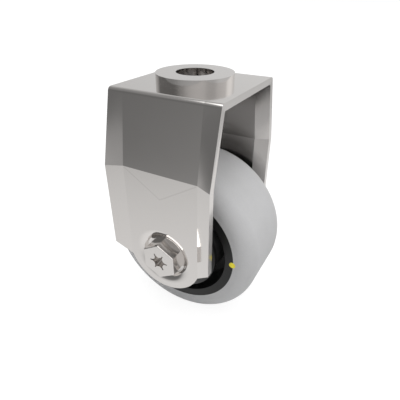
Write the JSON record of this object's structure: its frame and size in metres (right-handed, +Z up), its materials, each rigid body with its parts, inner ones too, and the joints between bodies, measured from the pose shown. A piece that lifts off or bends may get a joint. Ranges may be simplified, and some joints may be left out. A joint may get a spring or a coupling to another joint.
{
  "type": "fixed caster",
  "caption": "Fixed caster with a folded polished-steel fork, a bolt-hole collar on top and a grey-treaded wheel on ball bearings.",
  "frame": {"origin": "centre of the fixing bolt's hole, level with the collar's top face", "axes": "+Z up, out of the collar's top face; +X the way the caster rolls; +Y along the axle from the bolt head to the nut"},
  "size_m": [0.05, 0.0448, 0.0734],
  "materials": {
    "fork_steel": "polished stainless steel",
    "collar_steel": "turned stainless steel",
    "bolt_steel": "bright stainless steel",
    "inner_steel": "machined steel",
    "bearing_steel": "ground and polished",
    "seal_rubber": "matt moulded",
    "cage_plastic": "matt moulded",
    "guard_plastic": "fine matt moulded",
    "centre_plastic": "fine matt moulded",
    "tread_rubber": "smooth matt",
    "dot_yellow": "satin",
    "insert_plastic": "matt moulded"
  },
  "bodies": {
    "frame": {"fork": "fork_steel", "mounting_collar": "collar_steel", "axle_bolt": "bolt_steel", "axle_nut": "bolt_steel", "nut_insert": "insert_plastic", "axle_tube": "inner_steel", "inner_spacer": "inner_steel", "near_inner_ring": "bearing_steel", "far_inner_ring": "bearing_steel", "near_bush": "inner_steel", "far_bush": "inner_steel", "near_thread_guard": "guard_plastic", "far_thread_guard": "guard_plastic"},
    "wheel": {"wheel_centre": "centre_plastic", "tread": "tread_rubber", "near_outer_ring": "bearing_steel", "far_outer_ring": "bearing_steel", "near_seals": "seal_rubber", "far_seals": "seal_rubber", "marker_dot": "dot_yellow"},
    "near_ball_row": {"near_balls": "bearing_steel", "near_cage": "cage_plastic"},
    "far_ball_row": {"far_balls": "bearing_steel", "far_cage": "cage_plastic"}
  },
  "joints": [
    {"name": "wheel_spin", "type": "hinge", "parent": "frame", "child": "wheel", "pos_m": [0, 0, -0.0484], "axis": [0, 1, 0], "continuous": true},
    {"name": "near_ball_row_turn", "type": "hinge", "parent": "frame", "child": "near_ball_row", "pos_m": [0, 0, -0.0484], "axis": [0, 1, 0], "continuous": true},
    {"name": "far_ball_row_turn", "type": "hinge", "parent": "frame", "child": "far_ball_row", "pos_m": [0, 0, -0.0484], "axis": [0, 1, 0], "continuous": true}
  ],
  "couplings": [
    {"joint": "near_ball_row_turn", "follows": "wheel_spin", "ratio": 0.6323},
    {"joint": "far_ball_row_turn", "follows": "wheel_spin", "ratio": 0.6323}
  ]
}
